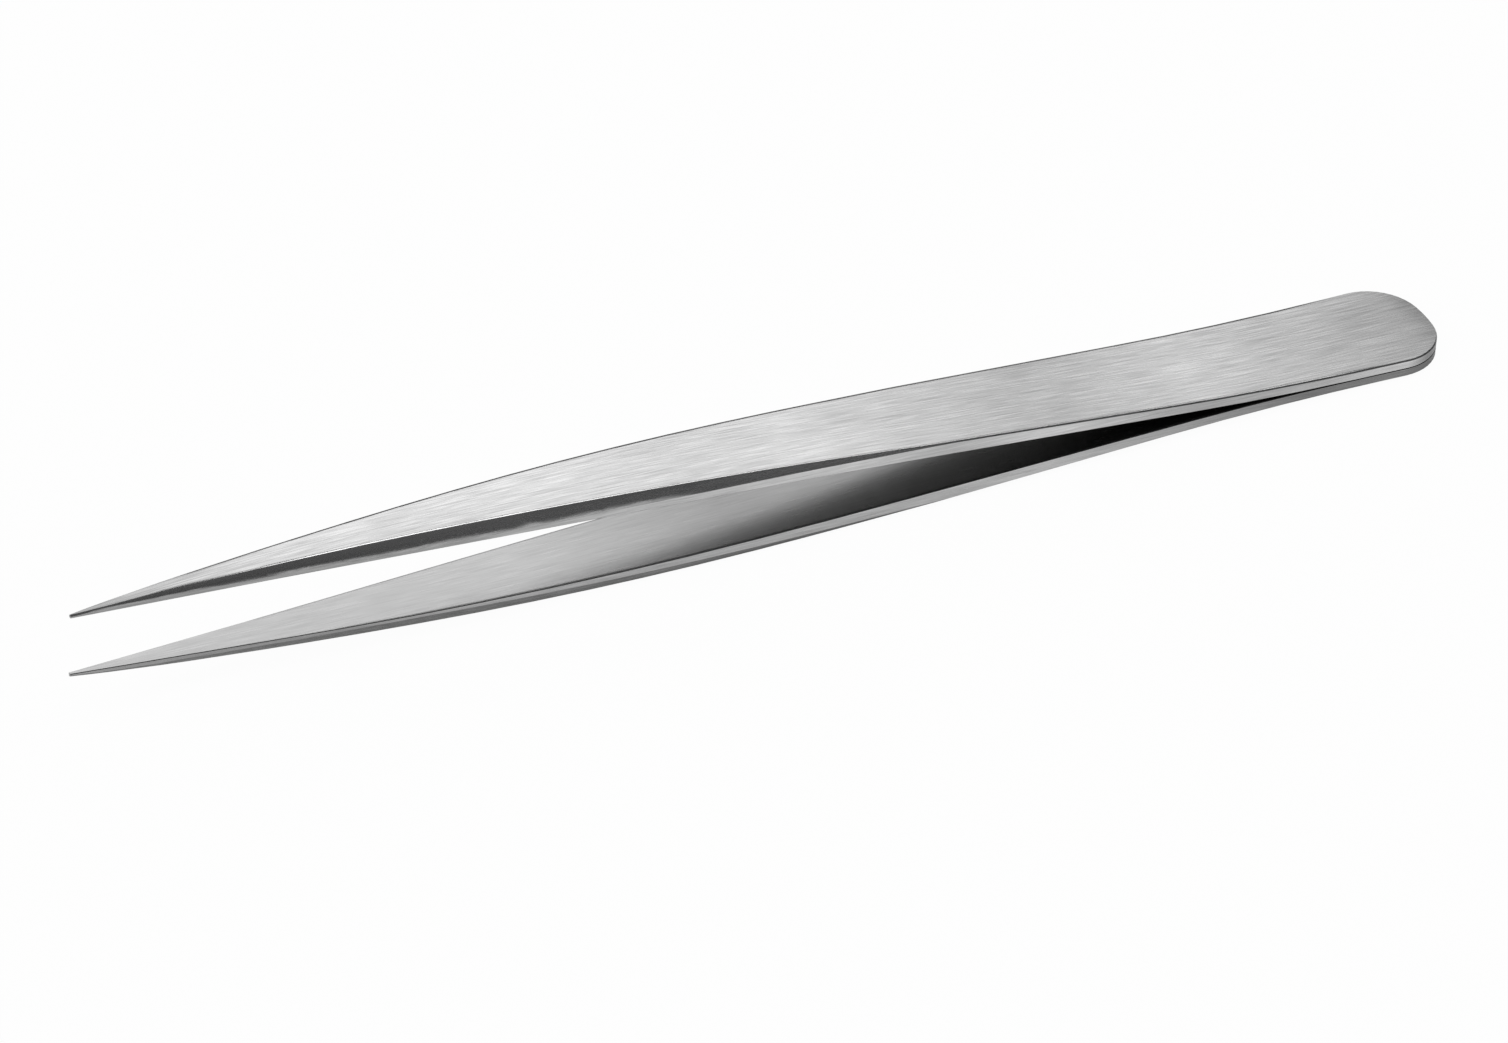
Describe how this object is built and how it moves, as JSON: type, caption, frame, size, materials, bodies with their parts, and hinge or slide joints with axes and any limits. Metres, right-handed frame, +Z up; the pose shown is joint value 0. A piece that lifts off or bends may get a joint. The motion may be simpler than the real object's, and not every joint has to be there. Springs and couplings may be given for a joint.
{
  "type": "tweezers",
  "caption": "Fine-point precision tweezers: flat bowed spring arms welded at a round rear end, with bevelled fronts that taper to sharp tips.",
  "frame": {"origin": "on the table, under the middle of the tweezers' box, as they lie on the outer face of the lower arm", "axes": "+X from the tips to the round welded end, +Y across the arms, +Z up from the table"},
  "size_m": [0.12, 0.0106, 0.0099],
  "materials": {
    "brushed_steel": "satin stainless steel, brushed along the length"
  },
  "bodies": {
    "root": {"upper_arm": "brushed_steel", "lower_arm": "brushed_steel"}
  },
  "joints": []
}
